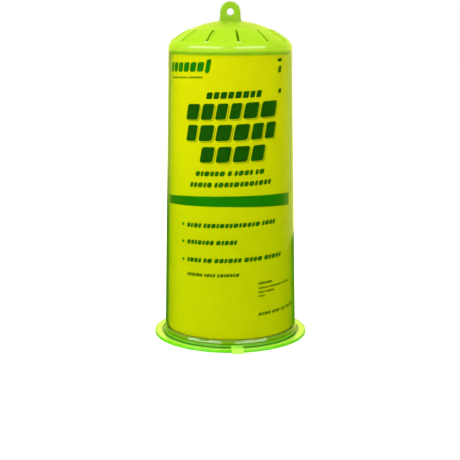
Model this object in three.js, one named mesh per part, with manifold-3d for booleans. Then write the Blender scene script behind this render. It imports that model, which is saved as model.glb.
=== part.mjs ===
// Reusable wasp trap: a tapered lime cylinder with a vented dome and a hanging eye stands on a
// flanged base. A rolled label lines the cylinder, and a funnel inside it lets wasps climb in
// from the holes in the base, past a lidded chamber that holds the bait.
// Units are millimetres, +Z is up, and the origin is the centre of the base's underside.
// The front is -Y.

import * as THREE from 'three';
import { mergeVertices } from 'three/addons/utils/BufferGeometryUtils.js';
import Module from 'manifold-3d';

const wasm = await Module();
wasm.setup();

// Driving dimensions
const TOTAL_HEIGHT = 236;
const FLANGE_RADIUS = 55;
const FLANGE_THICKNESS = 1.75;
const WALL = 1.6;
const GAP = 0.3;
const EDGE_CHAMFER = 0.4;
const CUT_MARGIN = 1;
const ROUND_SEGMENTS = 72;
const SMALL_SEGMENTS = 48;

// Cylinder
const CYLINDER_RADIUS_AT_FLOOR = 47.42;
const CYLINDER_DRAFT = THREE.MathUtils.degToRad(1.22);
const DOME_RADIUS = 66;
const DOME_TOP = 223.2;
const SHOULDER_RADIUS = 6;

// Hanging tab
const TAB_RADIUS = 7.05;
const TAB_THICKNESS = 3.2;
const TAB_FILLET = 1.6;
const TAB_ROOT = 3;
const TAB_SINK = 0.4;
const EYE_RADIUS = 2.35;

// Dome vents
const VENT_COUNT = 12;
const VENT_INNER = 29;
const VENT_OUTER = 41;
const VENT_WIDTH = 1.6;
const VENT_PHASE = THREE.MathUtils.degToRad(7.6);

// Base
const FLOOR_TOP = 1.5;
const CYLINDER_BOTTOM = FLOOR_TOP + 2 * GAP;
const RIM_INNER = CYLINDER_RADIUS_AT_FLOOR + GAP;
const RIM_OUTER = RIM_INNER + 0.7;
const RIM_TOP = 3.8;
const SEAT_RING_WALL = 0.9;
const GROOVE_OUTER = 50;
const GROOVE_FLOOR = 0.7;
const ENTRY_COUNT = 8;
const ENTRY_RADIUS = 5;
const ENTRY_CIRCLE = 31;
const GRIP_WIDTH = 8.3;
const GRIP_REACH = 57.5;
const GRIP_HEIGHT = 3.2;
const GRIP_ANGLE = THREE.MathUtils.degToRad(5.5);
const GRIP_CORNER = 1.5;
const GRIP_OVERLAP = 0.3;

// Sloping lip round the cylinder, just above the base's rim
const LIP_BOTTOM = RIM_TOP + 0.4;
const LIP_EDGE = 0.2;
const LIP_TOP = 6.3;
const LIP_REACH = 0.9;

// Twist lock: stop lugs on the cylinder travel in windows of the base's rim
const TWIST_TRAVEL = THREE.MathUtils.degToRad(28);
const LUG_ANGLE = THREE.MathUtils.degToRad(5);
const LUG_CLEARANCE = THREE.MathUtils.degToRad(1);
const LUG_STARTS = [53, 97].map(THREE.MathUtils.degToRad);
const LUG_INSET = 0.2;

// Funnel
const FUNNEL_WALL = 1.4;
const FUNNEL_RADIUS = 44.5;
const FUNNEL_SKIRT_TOP = 8;
const FUNNEL_TIP_RADIUS = 7.9;
const FUNNEL_TOP = 105;
const KEY_COUNT = 4;
const KEY_ANGLE = THREE.MathUtils.degToRad(8);
const KEY_TOP = 3.1;
const KEY_REACH = 46.9;
const SEAT_RING_OUTER = FUNNEL_RADIUS - FUNNEL_WALL - GAP;

// Bait chamber
const CHAMBER_RADIUS = 15.2;
const CHAMBER_WALL = 1.2;
const CHAMBER_TOP = 17;
const LID_THICKNESS = 1.5;
const LID_BOTTOM = CHAMBER_TOP + GAP;
const HINGE_Y = 17.6;
const HINGE_Z = LID_BOTTOM + LID_THICKNESS / 2;
const HINGE_BARREL = 1.5;
const HINGE_PIN = 0.9;
const EAR_INNER = 4;
const EAR_THICKNESS = 1.6;
const EAR_DEPTH = 6;
const EAR_HEIGHT = 7;
const LID_ARM_OVERLAP = 4;
const LID_GRIP_WIDTH = 8;
const LID_GRIP_DEPTH = 4;
const LID_GRIP_REACH = 3;
const LID_VENT_CIRCLE = 12;
const LID_VENT_SPACING = 5;
const LID_VENT_WIDTH = 1.6;

// Bait cartridge and pad
const CARTRIDGE_RADIUS = 11.5;
const CARTRIDGE_HEIGHT = 6.5;
const CARTRIDGE_BOTTOM = FLOOR_TOP + GAP;
const CARTRIDGE_WALL = 1;
const CARTRIDGE_DRAFT = 0.6;
const CARTRIDGE_LIP = 1.2;
const WICK_INSET = 2.6;
const FILM_THICKNESS = 0.3;
const PAD_RADIUS = 12.5;
const PAD_THICKNESS = 2.6;

// Label
const LABEL_THICKNESS = 0.35;
const LABEL_BOTTOM = 7;
const LABEL_TOP = 204.2;
const LABEL_SEAM = 1.5;

const point = (x, y) => new THREE.Vector2(x, y);

// Solid helpers ---------------------------------------------------------------------------

// The solid inside a closed geometry, with doubled vertices merged and slivers dropped.
function solidOf(geometry) {
  const bare = geometry.clone();
  bare.deleteAttribute('uv');
  bare.deleteAttribute('normal');
  const merged = mergeVertices(bare, 1e-4);
  const corners = Array.from(merged.index.array);
  const kept = [];
  for (let i = 0; i < corners.length; i += 3) {
    const [a, b, c] = corners.slice(i, i + 3);
    if (a !== b && b !== c && c !== a) kept.push(a, b, c);
  }
  if (signedVolume(merged, kept) < 0) kept.reverse();
  return new wasm.Manifold(new wasm.Mesh({
    numProp: 3,
    vertProperties: new Float32Array(merged.attributes.position.array),
    triVerts: new Uint32Array(kept),
  }));
}

function signedVolume(geometry, corners) {
  const vertex = (i) => new THREE.Vector3().fromBufferAttribute(geometry.attributes.position, i);
  let total = 0;
  for (let i = 0; i < corners.length; i += 3) {
    const [a, b, c] = corners.slice(i, i + 3).map(vertex);
    total += a.dot(b.cross(c)) / 6;
  }
  return total;
}

function geometryOf(solid) {
  const mesh = solid.getMesh();
  const geometry = new THREE.BufferGeometry();
  geometry.setAttribute('position', new THREE.BufferAttribute(mesh.vertProperties, 3));
  geometry.setIndex(new THREE.BufferAttribute(mesh.triVerts, 1));
  geometry.computeVertexNormals();
  return geometry;
}

// A profile of (radius, height) points turned about the Z axis.
function turned(profile, segments = ROUND_SEGMENTS) {
  return solidOf(new THREE.LatheGeometry(profile, segments).rotateX(Math.PI / 2));
}

function closedRing(profile, segments) {
  return turned([...profile, profile[0].clone()], segments);
}

function disc(radius, bottom, top, segments = ROUND_SEGMENTS) {
  return turned([point(0, bottom), point(radius, bottom), point(radius, top), point(0, top)], segments);
}

// A flat shape in XY, raised from one height to another.
function raised(shape, bottom, top, curveSegments = 12) {
  const options = { depth: top - bottom, bevelEnabled: false, curveSegments };
  return solidOf(new THREE.ExtrudeGeometry(shape, options).translate(0, 0, bottom));
}

function box(width, depth, height, x, y, z) {
  return solidOf(new THREE.BoxGeometry(width, depth, height).translate(x, y, z));
}

function rodAlongX(radius, from, to, y, z) {
  const geometry = new THREE.CylinderGeometry(radius, radius, to - from, 16);
  return solidOf(geometry.rotateZ(Math.PI / 2).translate((from + to) / 2, y, z));
}

// A piece of a ring between two radii and two angles, raised from bottom to top.
function ringPiece(inner, outer, from, to, bottom, top) {
  const shape = new THREE.Shape();
  shape.absarc(0, 0, outer, from, to, false);
  shape.absarc(0, 0, inner, to, from, true);
  shape.closePath();
  return raised(shape, bottom, top, 6);
}

function arcPoints(centre, radius, from, to, steps) {
  const points = [];
  for (let i = 0; i <= steps; i += 1) {
    const angle = from + (to - from) * i / steps;
    points.push(point(centre.x + radius * Math.cos(angle), centre.y + radius * Math.sin(angle)));
  }
  return points;
}

// Housing ---------------------------------------------------------------------------------

// Where the rounded shoulder's arc is centred: its arc touches both the wall and the dome.
function shoulderCentre() {
  const across = point(Math.cos(CYLINDER_DRAFT), Math.sin(CYLINDER_DRAFT));
  const along = point(-Math.sin(CYLINDER_DRAFT), Math.cos(CYLINDER_DRAFT));
  const dome = point(0, DOME_TOP - DOME_RADIUS);
  const start = across.clone().multiplyScalar(
    CYLINDER_RADIUS_AT_FLOOR * Math.cos(CYLINDER_DRAFT) - SHOULDER_RADIUS);
  const away = start.clone().sub(dome);
  const half = along.dot(away);
  const reach = DOME_RADIUS - SHOULDER_RADIUS;
  const distance = -half + Math.sqrt(half * half - away.lengthSq() + reach * reach);
  return start.addScaledVector(along, distance);
}

function wallRadius(height, inset = 0) {
  return CYLINDER_RADIUS_AT_FLOOR - height * Math.tan(CYLINDER_DRAFT) - inset / Math.cos(CYLINDER_DRAFT);
}

// The housing's outline from its lower edge to the top of the dome, moved inwards by inset.
function housingOutline(inset) {
  const shoulder = shoulderCentre();
  const dome = point(0, DOME_TOP - DOME_RADIUS);
  const domeStart = shoulder.clone().sub(dome).angle();
  return [
    point(wallRadius(CYLINDER_BOTTOM, inset), CYLINDER_BOTTOM),
    ...arcPoints(shoulder, SHOULDER_RADIUS - inset, CYLINDER_DRAFT, domeStart, 4),
    ...arcPoints(dome, DOME_RADIUS - inset, domeStart, Math.PI / 2, 8).slice(1),
  ];
}

// The hanging tab in the XZ plane: straight sides, a round top, flared feet and an eye.
function hangingTab() {
  const foot = DOME_TOP - TAB_ROOT;
  const fillet = DOME_TOP - TAB_SINK;
  const outer = TAB_RADIUS + TAB_FILLET;
  const shape = new THREE.Shape();
  shape.moveTo(-outer, foot);
  shape.lineTo(outer, foot);
  shape.lineTo(outer, fillet);
  shape.absarc(outer, fillet + TAB_FILLET, TAB_FILLET, -Math.PI / 2, -Math.PI, true);
  shape.absarc(0, TOTAL_HEIGHT - TAB_RADIUS, TAB_RADIUS, 0, Math.PI, false);
  shape.absarc(-outer, fillet + TAB_FILLET, TAB_FILLET, 0, -Math.PI / 2, true);
  shape.closePath();
  const eye = new THREE.Path();
  eye.absarc(0, TOTAL_HEIGHT - TAB_RADIUS, EYE_RADIUS, 0, 2 * Math.PI, false);
  shape.holes.push(eye);
  const options = { depth: TAB_THICKNESS, bevelEnabled: false, curveSegments: 12 };
  const geometry = new THREE.ExtrudeGeometry(shape, options);
  return solidOf(geometry.rotateX(Math.PI / 2).translate(0, TAB_THICKNESS / 2, 0));
}

function domeVent(index) {
  const length = VENT_OUTER - VENT_INNER;
  const shoulder = shoulderCentre().y;
  const height = DOME_TOP - shoulder + SHOULDER_RADIUS;
  const geometry = new THREE.BoxGeometry(VENT_WIDTH, length, height);
  geometry.translate(0, -(VENT_INNER + length / 2), shoulder + height / 2);
  return solidOf(geometry.rotateZ(VENT_PHASE + index * 2 * Math.PI / VENT_COUNT));
}

function stopLug(start) {
  const inside = wallRadius(CYLINDER_BOTTOM) - WALL / 2;
  const bottom = CYLINDER_BOTTOM + LUG_INSET / 2;
  const outside = RIM_OUTER - LUG_INSET;
  return ringPiece(inside, outside, start, start + LUG_ANGLE, bottom, RIM_TOP - LUG_INSET);
}

function keyNotch(index) {
  const middle = Math.PI / 4 + index * 2 * Math.PI / KEY_COUNT;
  const half = KEY_ANGLE / 2 + LUG_CLEARANCE;
  const inside = FUNNEL_RADIUS - CUT_MARGIN;
  const outside = KEY_REACH + 2 * CUT_MARGIN;
  return ringPiece(inside, outside, middle - half, middle + half, 0, KEY_TOP + 2 * GAP);
}

function lowerLip() {
  const inside = wallRadius(LIP_BOTTOM, WALL / 2);
  const outside = wallRadius(LIP_BOTTOM) + LIP_REACH;
  return closedRing([
    point(inside, LIP_BOTTOM),
    point(outside, LIP_BOTTOM),
    point(outside, LIP_BOTTOM + LIP_EDGE),
    point(wallRadius(LIP_TOP), LIP_TOP),
    point(inside, LIP_TOP),
  ]);
}

function trapCylinder() {
  const inside = turned([point(0, 0), point(wallRadius(0, WALL), 0), ...housingOutline(WALL)]);
  const outline = housingOutline(0);
  let solid = turned([point(0, outline[0].y), ...outline]).add(lowerLip());
  solid = solid.add(hangingTab()).subtract(inside);
  for (let i = 0; i < VENT_COUNT; i += 1) {
    solid = solid.subtract(domeVent(i));
  }
  for (const start of LUG_STARTS) {
    solid = solid.add(stopLug(start));
  }
  for (let i = 0; i < KEY_COUNT; i += 1) {
    solid = solid.subtract(keyNotch(i));
  }
  return solid;
}

function labelSheet() {
  const outer = WALL + GAP;
  const inner = outer + LABEL_THICKNESS;
  const ring = closedRing([
    point(wallRadius(LABEL_BOTTOM, outer), LABEL_BOTTOM),
    point(wallRadius(LABEL_TOP, outer), LABEL_TOP),
    point(wallRadius(LABEL_TOP, inner), LABEL_TOP),
    point(wallRadius(LABEL_BOTTOM, inner), LABEL_BOTTOM),
  ]);
  const middle = (LABEL_BOTTOM + LABEL_TOP) / 2;
  return ring.subtract(box(LABEL_SEAM, FLANGE_RADIUS, TOTAL_HEIGHT, 0, FLANGE_RADIUS / 2, middle));
}

// Base and funnel -------------------------------------------------------------------------

function baseOutline() {
  const chamberInner = CHAMBER_RADIUS - CHAMBER_WALL;
  const seatInner = SEAT_RING_OUTER - SEAT_RING_WALL;
  return [
    point(0, 0),
    point(FLANGE_RADIUS - EDGE_CHAMFER, 0),
    point(FLANGE_RADIUS, EDGE_CHAMFER),
    point(FLANGE_RADIUS, FLANGE_THICKNESS - EDGE_CHAMFER),
    point(FLANGE_RADIUS - EDGE_CHAMFER, FLANGE_THICKNESS),
    point(GROOVE_OUTER, FLANGE_THICKNESS),
    point(GROOVE_OUTER, GROOVE_FLOOR),
    point(RIM_OUTER, GROOVE_FLOOR),
    point(RIM_OUTER, RIM_TOP),
    point(RIM_INNER, RIM_TOP),
    point(RIM_INNER, FLOOR_TOP),
    point(SEAT_RING_OUTER, FLOOR_TOP),
    point(SEAT_RING_OUTER, RIM_TOP),
    point(seatInner, RIM_TOP),
    point(seatInner, FLOOR_TOP),
    point(CHAMBER_RADIUS, FLOOR_TOP),
    point(CHAMBER_RADIUS, CHAMBER_TOP),
    point(chamberInner, CHAMBER_TOP),
    point(chamberInner, FLOOR_TOP),
    point(0, FLOOR_TOP),
  ];
}

function entryHole(index) {
  const angle = (index + 0.5) * 2 * Math.PI / ENTRY_COUNT;
  const geometry = new THREE.CylinderGeometry(ENTRY_RADIUS, ENTRY_RADIUS, 3 * FLOOR_TOP, 20);
  geometry.rotateX(Math.PI / 2);
  geometry.translate(ENTRY_CIRCLE * Math.cos(angle), ENTRY_CIRCLE * Math.sin(angle), FLOOR_TOP / 2);
  return solidOf(geometry);
}

function gripTab() {
  const half = GRIP_WIDTH / 2;
  const back = GRIP_OVERLAP - RIM_OUTER;
  const side = half - GRIP_CORNER;
  const front = GRIP_CORNER - GRIP_REACH;
  const shape = new THREE.Shape();
  shape.moveTo(half, back);
  shape.lineTo(-half, back);
  shape.lineTo(-half, front);
  shape.absarc(-side, front, GRIP_CORNER, Math.PI, 1.5 * Math.PI, false);
  shape.absarc(side, front, GRIP_CORNER, 1.5 * Math.PI, 2 * Math.PI, false);
  shape.closePath();
  const options = { depth: GRIP_HEIGHT, bevelEnabled: false, curveSegments: 4 };
  return solidOf(new THREE.ExtrudeGeometry(shape, options).rotateZ(GRIP_ANGLE));
}

// The window is open above, so the cylinder can be lifted out of it at either end.
function rimWindow(start) {
  const from = start - LUG_CLEARANCE;
  const to = start + LUG_ANGLE + TWIST_TRAVEL + LUG_CLEARANCE;
  const inside = RIM_INNER - EDGE_CHAMFER;
  const outside = RIM_OUTER + EDGE_CHAMFER;
  return ringPiece(inside, outside, from, to, CYLINDER_BOTTOM - LUG_INSET, RIM_TOP + CUT_MARGIN);
}

// An ear behind the chamber carries one end of the lid's hinge. Above the chamber's edge it
// keeps clear of the lid.
function hingeEar(side) {
  const middle = side * (EAR_INNER + EAR_THICKNESS / 2);
  const footY = HINGE_Y + HINGE_BARREL - EAR_DEPTH / 2;
  const foot = box(EAR_THICKNESS, EAR_DEPTH, EAR_HEIGHT, middle, footY, CHAMBER_TOP - EAR_HEIGHT / 2);
  const postHeight = HINGE_Z - CHAMBER_TOP + CUT_MARGIN;
  const postZ = HINGE_Z - postHeight / 2;
  const post = box(EAR_THICKNESS, 2 * HINGE_BARREL, postHeight, middle, HINGE_Y, postZ);
  const from = middle - EAR_THICKNESS / 2;
  return foot.add(post).add(rodAlongX(HINGE_BARREL, from, from + EAR_THICKNESS, HINGE_Y, HINGE_Z));
}

function trapBase() {
  let solid = turned(baseOutline()).add(gripTab());
  for (let i = 0; i < ENTRY_COUNT; i += 1) {
    solid = solid.subtract(entryHole(i));
  }
  for (const start of LUG_STARTS) {
    solid = solid.subtract(rimWindow(start));
  }
  solid = solid.add(hingeEar(1)).add(hingeEar(-1));
  const pinHole = HINGE_PIN + GAP;
  const reach = EAR_INNER + EAR_THICKNESS + CUT_MARGIN;
  const inside = disc(CHAMBER_RADIUS - CHAMBER_WALL, FLOOR_TOP, TOTAL_HEIGHT);
  return solid.subtract(rodAlongX(pinHole, -reach, reach, HINGE_Y, HINGE_Z)).subtract(inside);
}

function funnelKey(index) {
  const middle = Math.PI / 4 + index * 2 * Math.PI / KEY_COUNT;
  const inside = FUNNEL_RADIUS - FUNNEL_WALL / 2;
  const bottom = FLOOR_TOP + GAP;
  return ringPiece(inside, KEY_REACH, middle - KEY_ANGLE / 2, middle + KEY_ANGLE / 2, bottom, KEY_TOP);
}

function entryFunnel() {
  const bottom = FLOOR_TOP + GAP;
  let solid = closedRing([
    point(FUNNEL_RADIUS - FUNNEL_WALL, bottom),
    point(FUNNEL_RADIUS, bottom),
    point(FUNNEL_RADIUS, FUNNEL_SKIRT_TOP),
    point(FUNNEL_TIP_RADIUS, FUNNEL_TOP),
    point(FUNNEL_TIP_RADIUS - FUNNEL_WALL, FUNNEL_TOP),
    point(FUNNEL_RADIUS - FUNNEL_WALL, FUNNEL_SKIRT_TOP),
  ]);
  for (let i = 0; i < KEY_COUNT; i += 1) {
    solid = solid.add(funnelKey(i));
  }
  return solid;
}

// Bait chamber's lid, cartridge and pad ---------------------------------------------------

function chamberLid() {
  const top = LID_BOTTOM + LID_THICKNESS;
  const half = EAR_INNER - GAP;
  const arm = HINGE_Y - CHAMBER_RADIUS + LID_ARM_OVERLAP;
  const gripY = LID_GRIP_DEPTH / 2 - CHAMBER_RADIUS - LID_GRIP_REACH;
  let solid = disc(CHAMBER_RADIUS, LID_BOTTOM, top, SMALL_SEGMENTS);
  solid = solid.add(box(2 * half, arm, LID_THICKNESS, 0, HINGE_Y - arm / 2, HINGE_Z));
  solid = solid.add(rodAlongX(HINGE_BARREL, -half, half, HINGE_Y, HINGE_Z));
  const pinEnd = EAR_INNER + EAR_THICKNESS;
  solid = solid.add(rodAlongX(HINGE_PIN, -pinEnd, pinEnd, HINGE_Y, HINGE_Z));
  solid = solid.add(box(LID_GRIP_WIDTH, LID_GRIP_DEPTH, LID_THICKNESS, 0, gripY, HINGE_Z));
  for (let i = -2; i <= 2; i += 1) {
    const across = i * LID_VENT_SPACING;
    const length = 2 * Math.sqrt(LID_VENT_CIRCLE ** 2 - across ** 2);
    solid = solid.subtract(box(LID_VENT_WIDTH, length, 4 * LID_THICKNESS, across, 0, HINGE_Z));
  }
  return solid;
}

function cartridgeShell() {
  const top = CARTRIDGE_BOTTOM + CARTRIDGE_HEIGHT;
  const outerBottom = CARTRIDGE_RADIUS - CARTRIDGE_WALL;
  const outerTop = outerBottom + CARTRIDGE_DRAFT;
  return turned([
    point(0, CARTRIDGE_BOTTOM),
    point(outerBottom, CARTRIDGE_BOTTOM),
    point(outerTop, top - CARTRIDGE_WALL),
    point(outerTop + CARTRIDGE_LIP, top - CARTRIDGE_WALL),
    point(outerTop + CARTRIDGE_LIP, top),
    point(outerTop - CARTRIDGE_WALL, top),
    point(outerBottom - CARTRIDGE_WALL, CARTRIDGE_BOTTOM + CARTRIDGE_WALL),
    point(0, CARTRIDGE_BOTTOM + CARTRIDGE_WALL),
  ], SMALL_SEGMENTS);
}

function cartridgeWick() {
  const bottom = CARTRIDGE_BOTTOM + CARTRIDGE_WALL + GAP;
  const top = CARTRIDGE_BOTTOM + CARTRIDGE_HEIGHT - CARTRIDGE_WALL;
  return disc(CARTRIDGE_RADIUS - WICK_INSET, bottom, top, SMALL_SEGMENTS);
}

function cartridgeFilm() {
  const bottom = CARTRIDGE_BOTTOM + CARTRIDGE_HEIGHT + GAP;
  const radius = CARTRIDGE_RADIUS - CARTRIDGE_WALL + CARTRIDGE_DRAFT + CARTRIDGE_LIP;
  return disc(radius, bottom, bottom + FILM_THICKNESS, SMALL_SEGMENTS);
}

function cottonPad() {
  const bottom = CARTRIDGE_BOTTOM + CARTRIDGE_HEIGHT + 2 * GAP + FILM_THICKNESS;
  return disc(PAD_RADIUS, bottom, bottom + PAD_THICKNESS, SMALL_SEGMENTS);
}

// Assembly --------------------------------------------------------------------------------

const plastic = (color, opacity = 1) => new THREE.MeshStandardMaterial({
  color,
  roughness: 0.25,
  metalness: 0,
  transparent: opacity < 1,
  opacity,
});
const soft = (color) => new THREE.MeshStandardMaterial({ color, roughness: 0.95, metalness: 0 });

const group = new THREE.Group();

function piece(name, solid, material) {
  const mesh = new THREE.Mesh(geometryOf(solid), material);
  mesh.name = name;
  group.add(mesh);
}

piece('trap_cylinder', trapCylinder(), plastic(0xb4e63c, 0.45));
piece('label_sheet', labelSheet(), soft(0xcfdc10));
piece('entry_funnel', entryFunnel(), plastic(0xf2d21b));
piece('trap_base', trapBase(), plastic(0x9be52a, 0.8));
piece('chamber_lid', chamberLid(), plastic(0xf2d21b));
piece('cartridge_shell', cartridgeShell(), plastic(0xf4f4ee));
piece('cartridge_wick', cartridgeWick(), soft(0xe8e2d0));
piece('cartridge_film', cartridgeFilm(), plastic(0xd8dade));
piece('cotton_pad', cottonPad(), soft(0xfafaf5));

export default group;
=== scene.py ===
"""Looks of the wasp trap, in metres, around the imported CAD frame.

Shapes are worked out in millimetres, as in the CAD model, and scaled when a mesh is made.
Angles round the trap are measured from the front (-Y), positive to the right (+X).
"""
import math

import bmesh
import bpy
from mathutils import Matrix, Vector


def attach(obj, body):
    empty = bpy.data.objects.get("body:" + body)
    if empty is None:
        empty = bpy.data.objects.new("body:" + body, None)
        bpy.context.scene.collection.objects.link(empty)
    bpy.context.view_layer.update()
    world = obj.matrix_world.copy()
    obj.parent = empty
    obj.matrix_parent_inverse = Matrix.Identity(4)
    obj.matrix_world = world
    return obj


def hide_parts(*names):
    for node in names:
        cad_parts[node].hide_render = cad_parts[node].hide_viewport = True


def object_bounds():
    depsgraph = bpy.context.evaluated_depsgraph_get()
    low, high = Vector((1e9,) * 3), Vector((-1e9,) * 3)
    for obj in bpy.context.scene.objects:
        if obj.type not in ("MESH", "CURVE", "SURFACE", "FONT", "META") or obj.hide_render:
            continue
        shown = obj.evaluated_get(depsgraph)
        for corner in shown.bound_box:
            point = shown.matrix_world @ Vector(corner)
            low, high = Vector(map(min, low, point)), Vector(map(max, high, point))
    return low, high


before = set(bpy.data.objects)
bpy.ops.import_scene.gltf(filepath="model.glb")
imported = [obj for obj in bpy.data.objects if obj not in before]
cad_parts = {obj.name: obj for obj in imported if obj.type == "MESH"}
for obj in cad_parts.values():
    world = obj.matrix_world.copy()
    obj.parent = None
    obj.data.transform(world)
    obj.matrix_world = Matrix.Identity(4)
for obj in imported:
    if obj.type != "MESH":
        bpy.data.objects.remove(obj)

CAD_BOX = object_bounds()
MM = 0.001

# Sizes shared with the CAD model, in millimetres ----------
TOTAL_HEIGHT = CAD_BOX[1].z / MM
FLANGE_RADIUS = CAD_BOX[1].x / MM
FLANGE_THICKNESS = 1.75
WALL = 1.6
GAP = 0.3
RADIUS_AT_FLOOR = 47.42
DRAFT = math.radians(1.22)
DOME_RADIUS = 66.0
DOME_TOP = 223.2
SHOULDER_RADIUS = 6.0
TAB_RADIUS = 7.05
TAB_THICKNESS = 3.2
TAB_EDGE = 0.9
TAB_SINK = 2.5
TAB_FLARE = 1.9
EYE_RADIUS = 2.35
EYE_ROUNDING = 0.6
VENT_COUNT = 12
VENT_INNER = 29.0
VENT_WIDTH = 1.6
VENT_PHASE = math.radians(7.6)
VENT_LIP_HEIGHT = 0.5
VENT_LIP_WIDTH = 1.2
VENT_LIP_FOOT = 1.9
FLOOR_TOP = 1.5
CYLINDER_BOTTOM = FLOOR_TOP + 2 * GAP
RIM_INNER = RADIUS_AT_FLOOR + GAP
RIM_OUTER = RIM_INNER + 0.7
RIM_TOP = 3.8
LIP_BOTTOM = RIM_TOP + 0.4
LIP_TOP = 6.3
LIP_REACH = 0.9
GROOVE_OUTER = 50.0
GROOVE_FLOOR = 0.7
ENTRY_COUNT = 8
ENTRY_RADIUS = 5.0
ENTRY_CIRCLE = 31.0
GRIP_WIDTH = 8.3
GRIP_REACH = 57.5
GRIP_HEIGHT = 3.2
GRIP_ANGLE = math.radians(5.5)
TWIST_TRAVEL = 28
LUG_ANGLE = 5
LUG_STARTS = (53, 97)
FUNNEL_RADIUS = 44.5
FUNNEL_WALL = 1.4
FUNNEL_SKIRT_TOP = 8.0
FUNNEL_TIP_RADIUS = 7.9
FUNNEL_TOP = 105.0
KEY_COUNT = 4
KEY_ANGLE = 8
KEY_TOP = 3.1
KEY_REACH = 46.9
SEAT_WALL = 0.9
CHAMBER_RADIUS = 15.2
CHAMBER_WALL = 1.2
CHAMBER_TOP = 17.0
LID_BOTTOM = CHAMBER_TOP + GAP
LID_THICKNESS = 1.5
LID_ARM_OVERLAP = 4
LID_GRIP_WIDTH = 8
LID_GRIP_DEPTH = 4
LID_VENT_CIRCLE = 12
LID_VENT_SPACING = 5.0
LID_VENT_HALF = 0.8
HINGE_Y = 17.6
HINGE_Z = LID_BOTTOM + LID_THICKNESS / 2
HINGE_BARREL = 1.5
HINGE_PIN = 0.9
EAR_INNER = 4.0
EAR_THICKNESS = 1.6
EAR_DEPTH = 6
EAR_HEIGHT = 7
CARTRIDGE_RADIUS = 11.5
CARTRIDGE_BOTTOM = FLOOR_TOP + GAP
CARTRIDGE_HEIGHT = 6.5
PAD_RADIUS = 12.5
PAD_THICKNESS = 2.6
LABEL_BOTTOM = 7.0
LABEL_TOP = 204.2

# How finely round shapes are drawn
ROUND_STEPS = 192
SMOOTH_ANGLE = math.radians(32)


# Outlines ----------

def arc(centre, radius, start, end, steps):
    """Points on an arc, both ends included."""
    points = []
    for i in range(steps + 1):
        angle = start + (end - start) * i / steps
        points.append((centre[0] + radius * math.cos(angle), centre[1] + radius * math.sin(angle)))
    return points


def rounded(corners, steps=4):
    """A closed outline from (x, y, fillet radius) corners."""
    points = []
    count = len(corners)
    for i, (x, y, radius) in enumerate(corners):
        if radius <= 0:
            points.append((x, y))
            continue
        here = Vector((x, y))
        back = Vector(corners[i - 1][:2]) - here
        ahead = Vector(corners[(i + 1) % count][:2]) - here
        half = back.angle(ahead) / 2
        cut = radius / math.tan(half)
        centre = here + (back.normalized() + ahead.normalized()).normalized() * radius / math.sin(half)
        first = here + back.normalized() * cut - centre
        last = here + ahead.normalized() * cut - centre
        turn = first.angle_signed(last)
        for k in range(steps + 1):
            angle = math.atan2(first.y, first.x) - turn * k / steps
            points.append((centre.x + radius * math.cos(angle), centre.y + radius * math.sin(angle)))
    return points


def wall_radius(height, inset=0.0):
    """Radius of the cylinder's outer face at a height, or of a surface inset mm inside it."""
    return RADIUS_AT_FLOOR - height * math.tan(DRAFT) - inset / math.cos(DRAFT)


def shoulder_centre():
    """Centre of the shoulder's arc, which touches both the wall and the dome."""
    across = Vector((math.cos(DRAFT), math.sin(DRAFT)))
    along = Vector((-math.sin(DRAFT), math.cos(DRAFT)))
    dome = Vector((0, DOME_TOP - DOME_RADIUS))
    start = across * (RADIUS_AT_FLOOR * math.cos(DRAFT) - SHOULDER_RADIUS)
    away = start - dome
    half = along.dot(away)
    reach = DOME_RADIUS - SHOULDER_RADIUS
    return start + along * (-half + math.sqrt(half * half - away.length_squared + reach * reach))


# Meshes ----------

def make_mesh(name, vertices, faces):
    """An object from millimetre vertices, with its faces turned outwards."""
    mesh = bpy.data.meshes.new(name)
    mesh.from_pydata([Vector(v) * MM for v in vertices], [], faces)
    work = bmesh.new()
    work.from_mesh(mesh)
    bmesh.ops.recalc_face_normals(work, faces=work.faces)
    work.to_mesh(mesh)
    work.free()
    piece = bpy.data.objects.new(name, mesh)
    bpy.context.scene.collection.objects.link(piece)
    return piece


def turned(name, outline, steps=ROUND_STEPS):
    """An outline of (radius, height) points turned about Z. Points on the axis become one."""
    vertices = []
    rings = []
    for radius, height in outline:
        if radius < 1e-6:
            rings.append([len(vertices)] * steps)
            vertices.append((0, 0, height))
            continue
        rings.append(list(range(len(vertices), len(vertices) + steps)))
        for i in range(steps):
            angle = 2 * math.pi * i / steps
            vertices.append((radius * math.cos(angle), radius * math.sin(angle), height))
    faces = []
    for low, high in zip(rings, rings[1:] + rings[:1]):
        for i in range(steps):
            k = (i + 1) % steps
            loop = [low[i], low[k], high[k], high[i]]
            corners = list(dict.fromkeys(loop))
            if len(corners) > 2:
                faces.append(corners)
    return make_mesh(name, vertices, faces)


def stacked(name, outline, layers):
    """A flat outline in XY, repeated at each (inset, height) layer, joined up and closed."""
    count = len(outline)
    vertices = []
    for inset, height in layers:
        vertices += [(x, y, height) for x, y in inset_outline(outline, inset)]
    last = len(vertices) - count
    faces = [list(range(count)), list(range(last, last + count))]
    for low in range(0, last, count):
        for i in range(count):
            k = (i + 1) % count
            faces.append([low + i, low + k, low + count + k, low + count + i])
    return make_mesh(name, vertices, faces)


def raised(name, outline, bottom, top):
    """A flat outline in XY raised from bottom to top."""
    return stacked(name, outline, [(0, bottom), (0, top)])


def rounded_layers(bottom, top, edge, steps):
    """(inset, height) layers of a plate whose two rims are rounded by edge."""
    layers = []
    for i in range(steps + 1):
        angle = math.pi / 2 * i / steps
        layers.append((edge * (1 - math.sin(angle)), bottom + edge * (1 - math.cos(angle))))
    return layers + [(inset, top - (height - bottom)) for inset, height in reversed(layers)]


def plate(name, outline, bottom, top, edge=0.3, steps=3):
    """A flat outline raised like a plate whose rims are rounded by edge."""
    return stacked(name, outline, rounded_layers(bottom, top, edge, steps))


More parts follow.
